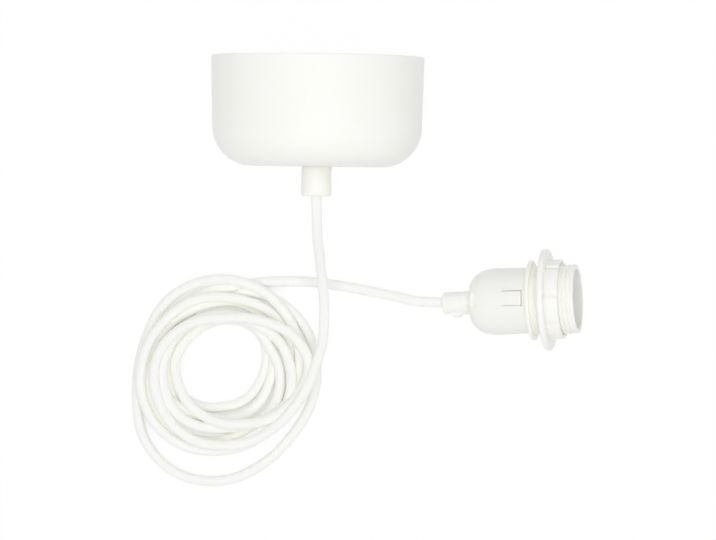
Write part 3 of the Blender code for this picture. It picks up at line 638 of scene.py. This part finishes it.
ringShape = {"station": 60.5, "radius": 28.95, "thickness": 3.3, "round": 1.1, "bore": 20.2, "collar": 22.8,
             "collarLength": 7.5, "grooves": 8, "groove": 9.0, "grooveDepth": 1.1, "grooveStart": 53.0,
             "flare": 2.2, "flareDepth": 1.2, "boreEdge": 0.4, "flareEdge": 0.2, "collarEdge": 0.6, "foot": 0.3,
             "past": 2, "facets": 192}


def makeRing():
    s = ringShape
    back = s["station"] - s["thickness"] / 2
    front = s["station"] + s["thickness"] / 2
    end = front + s["collarLength"]
    corners = [(s["bore"], back, s["boreEdge"]), (s["bore"], end - s["flare"], 0),
               (s["bore"] + s["flareDepth"], end, s["flareEdge"]), (s["collar"], end, s["collarEdge"]),
               (s["collar"], front, s["foot"]), (s["radius"], front, s["round"]), (s["radius"], back, s["round"])]
    ring = spun("shadeRing", rounded(corners), s["facets"], holderPlace)
    half = s["collar"] * sin(radians(s["groove"] / 2))
    for count in range(s["grooves"]):
        place = holderPlace @ Matrix.Rotation(radians(180 - s["grooveStart"] + 360 * count / s["grooves"]), 4, "Z")
        cutWith(ring, block((s["collar"] - s["grooveDepth"], -half, front),
                            (s["collar"] + s["past"], half, end + s["past"]), place))
    finish(ring, whiteAbs, ["shade_ring"], "ring")


shellShape = {"back": 49.8, "length": 20.0, "bore": 13.4, "wall": 0.5, "pitch": 3.6, "depth": 0.7,
              "plainEnd": 1, "rowStep": 0.3, "facets": 96}


# Thin plated sheet with the rolled screw thread that takes the lamp
def makeShell():
    s = shellShape
    front = s["back"] + s["length"]
    inner = rows(s["bore"], s["back"], front, s["rowStep"])
    outer = rows(s["bore"] + s["wall"], s["back"], front, s["rowStep"])
    shell = spun("lampShell", [Vector(p[:2]) for p in inner + outer[::-1]], s["facets"], holderPlace)
    for vertex in shell.data.vertices:
        station = vertex.co.z / mm
        turn = np.arctan2(vertex.co.y, vertex.co.x) / (2 * pi)
        fromEnd = min(station - s["back"], front - station) - s["plainEnd"]
        fade = max(0, min(1, fromEnd / s["pitch"]))
        swell = s["depth"] * fade * (0.5 + 0.5 * cos(2 * pi * (station / s["pitch"] - turn)))
        share = 1 + swell * mm / vertex.co.xy.length
        vertex.co.x *= share
        vertex.co.y *= share
    finish(shell, nickel, ["lamp_shell"])


makeGrip()
makeCap()
makeSleeve()
makeRing()
makeShell()
print("holder made")

# Nodes that keep their CAD shape and take a real finish

finishes = {
    "cup_grip_nut": whiteAbs, "terminal_block": polyamide, "contact_carrier": whitePbt,
    "cup_grip_screw": polyamide, "holder_grip_screw": polyamide,
    "live_pole": brass, "neutral_pole": brass, "live_terminal": brass, "neutral_terminal": brass,
    "centre_contact": brass, "shell_contact": brass,
    "live_pole_screw_lower": nickel, "live_pole_screw_upper": nickel,
    "neutral_pole_screw_lower": nickel, "neutral_pole_screw_upper": nickel,
    "live_terminal_screw": nickel, "neutral_terminal_screw": nickel,
    "centre_contact_rivet": nickel, "shell_contact_rivet": nickel,
    "live_core_at_cup": brownPvc, "live_core_at_holder": brownPvc,
    "neutral_core_at_cup": bluePvc, "neutral_core_at_holder": bluePvc,
}
for name, material in finishes.items():
    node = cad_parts[name]
    node.data.materials.clear()
    node.data.materials.append(material)
print("CAD nodes painted")

# Table and light: an even white studio, a little brighter from above

studio = {"sky": 0.69, "lamp": 12.0, "lampSize": 1.6, "lampPlace": (-0.02, -0.3, 1.8), "tableSize": 8,
          "tableShare": 0.98, "coverShare": 0.42, "covered": 0.25, "open": 0.55, "shadeReach": 14 * mm,
          "bounces": 24, "diffuseBounces": 16}


# 1 for the rays that show the surroundings: those of the camera, of mirrors and of clear things
def seenDirectly(tree):
    path = addNode(tree, "LightPath")
    mirrored = addNode(tree, "Math", {"operation": "ADD"},
                       {0: path.outputs["Is Glossy Ray"], 1: path.outputs["Is Transmission Ray"]})
    every = addNode(tree, "Math", {"operation": "ADD", "use_clamp": True},
                    {0: path.outputs["Is Camera Ray"], 1: mirrored.outputs[0]})
    return every.outputs[0]


# White card: to the camera its open surface is plain white, and where things lie close over it their shade stays.
def whiteTable():
    material, tree, shader = newMaterial("whiteCard")
    shader.inputs["Base Color"].default_value = linear("#F4F4F4")
    shader.inputs["Roughness"].default_value = 0.9
    glow = addNode(tree, "Emission", {}, {"Color": (1, 1, 1, 1), "Strength": 1.0})
    cover = addNode(tree, "AmbientOcclusion", {"samples": 12}, {"Distance": studio["shadeReach"]})
    clear = addNode(tree, "MapRange", {}, {"Value": cover.outputs["AO"],
                                           "From Min": studio["covered"], "From Max": studio["open"],
                                           "To Min": studio["coverShare"], "To Max": studio["tableShare"]})
    share = addNode(tree, "Math", {"operation": "MULTIPLY"}, {0: seenDirectly(tree), 1: clear.outputs["Result"]})
    mixed = addNode(tree, "MixShader", {}, {0: share.outputs[0], 1: shader.outputs[0], 2: glow.outputs[0]})
    tree.links.new(mixed.outputs[0], tree.nodes["Material Output"].inputs["Surface"])
    return material


bpy.ops.object.select_all(action="DESELECT")
bpy.ops.mesh.primitive_plane_add(size=studio["tableSize"], location=(0, 0, 0))
table = bpy.context.object
table.name = "table"
table.data.materials.append(whiteTable())

world = bpy.data.worlds.new("studio")
bpy.context.scene.world = world
world.use_nodes = True
sky = world.node_tree.nodes["Background"]
sky.inputs["Color"].default_value = (1, 1, 1, 1)
strength = addNode(world.node_tree, "MapRange", {}, {"Value": seenDirectly(world.node_tree),
                                                     "To Min": studio["sky"], "To Max": 1.0})
world.node_tree.links.new(strength.outputs["Result"], sky.inputs["Strength"])

bpy.ops.object.light_add(type="AREA", location=studio["lampPlace"])
lamp = bpy.context.object
lamp.data.size = studio["lampSize"]
lamp.data.energy = studio["lamp"]
lamp.visible_camera = False

bpy.context.scene.view_settings.view_transform = "Standard"
# White surfaces that face each other light each other, so the light bounces many times
bpy.context.scene.cycles.max_bounces = studio["bounces"]
bpy.context.scene.cycles.diffuse_bounces = studio["diffuseBounces"]
print("studio set")
